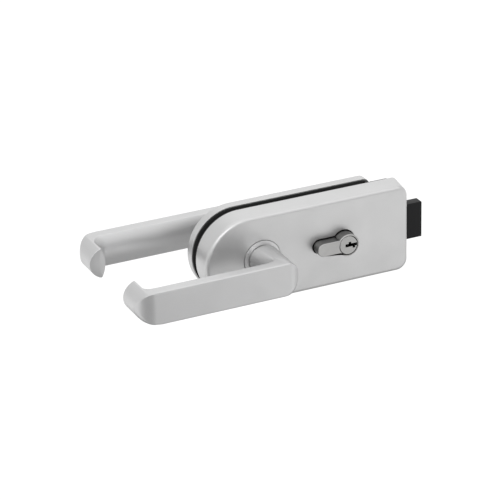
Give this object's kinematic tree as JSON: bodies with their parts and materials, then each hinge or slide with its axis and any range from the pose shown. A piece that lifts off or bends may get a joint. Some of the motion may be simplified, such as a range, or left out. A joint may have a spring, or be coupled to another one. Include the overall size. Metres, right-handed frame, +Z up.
{
  "type": "glass door lever lockset",
  "caption": "Clamp-on lockset for a glass door: D-shaped case and counter case, two cranked levers, sprung black bolt and profile cylinder.",
  "frame": {"origin": "on the spindle axis, midway between the two metal shells that face each other across the pane slot", "axes": "+X along the case towards the bolt, +Y from the front case through the pane to the rear case, +Z up"},
  "size_m": [0.2484, 0.1164, 0.067],
  "materials": {
    "satin_metal": "satin, finely blasted",
    "lever_metal": "satin, finely brushed",
    "nickel": "satin nickel plate",
    "zinc_steel": "zinc plated",
    "dark_steel": "blackened",
    "spring_steel": "drawn wire",
    "brass": "turned",
    "black_plastic": "moulded, fine grain",
    "white_plastic": "moulded",
    "black_rubber": "matt"
  },
  "bodies": {
    "lock_case": {"front_cover": "satin_metal", "rear_cover": "satin_metal", "front_base_plate": "zinc_steel", "rear_clamp_plate": "zinc_steel", "front_gasket": "black_rubber", "rear_gasket": "black_rubber", "front_rose_ring": "satin_metal", "rear_rose_ring": "satin_metal", "follower_bush": "black_plastic", "rear_bush": "black_plastic", "follower_spring": "spring_steel", "bolt_guide": "black_plastic", "guide_screws": "zinc_steel", "latch_spring": "spring_steel", "cylinder_body": "nickel", "driver_pins": "brass", "pin_springs": "spring_steel", "pin_caps": "brass", "cylinder_screw": "zinc_steel", "clamp_screws": "zinc_steel", "glass_sleeves": "white_plastic", "front_cover_screws": "zinc_steel", "rear_cover_screws": "zinc_steel"},
    "handle_set": {"front_lever": "lever_metal", "rear_lever": "lever_metal", "front_lever_screw": "dark_steel", "rear_lever_screw": "dark_steel", "spindle": "zinc_steel", "follower": "zinc_steel"},
    "latch": {"latch_slide": "zinc_steel", "latch_bolt": "black_plastic", "bolt_rivets": "zinc_steel"},
    "key_plug": {"cylinder_plug": "nickel", "cylinder_cam": "zinc_steel", "cylinder_clip": "spring_steel", "key_pins": "brass"}
  },
  "joints": [
    {"name": "lever_turn", "type": "hinge", "parent": "lock_case", "child": "handle_set", "pos_m": [0, 0, 0], "axis": [0, -1, 0], "range_deg": [0, 42], "stiffness_Nm_per_rad": 1.2, "springref_deg": -28.65, "deforming": ["follower_spring"]},
    {"name": "latch_move", "type": "slide", "parent": "lock_case", "child": "latch", "axis": [-1, 0, 0], "range_m": [0, 0.0165], "stiffness_N_per_m": 300, "springref_m": -0.01, "deforming": ["latch_spring"]},
    {"name": "plug_turn", "type": "hinge", "parent": "lock_case", "child": "key_plug", "pos_m": [0.065, 0, 0], "axis": [0, 1, 0], "continuous": true}
  ],
  "couplings": [
    {"joint": "latch_move", "follows": "lever_turn", "m_per_rad": 0.02237}
  ]
}
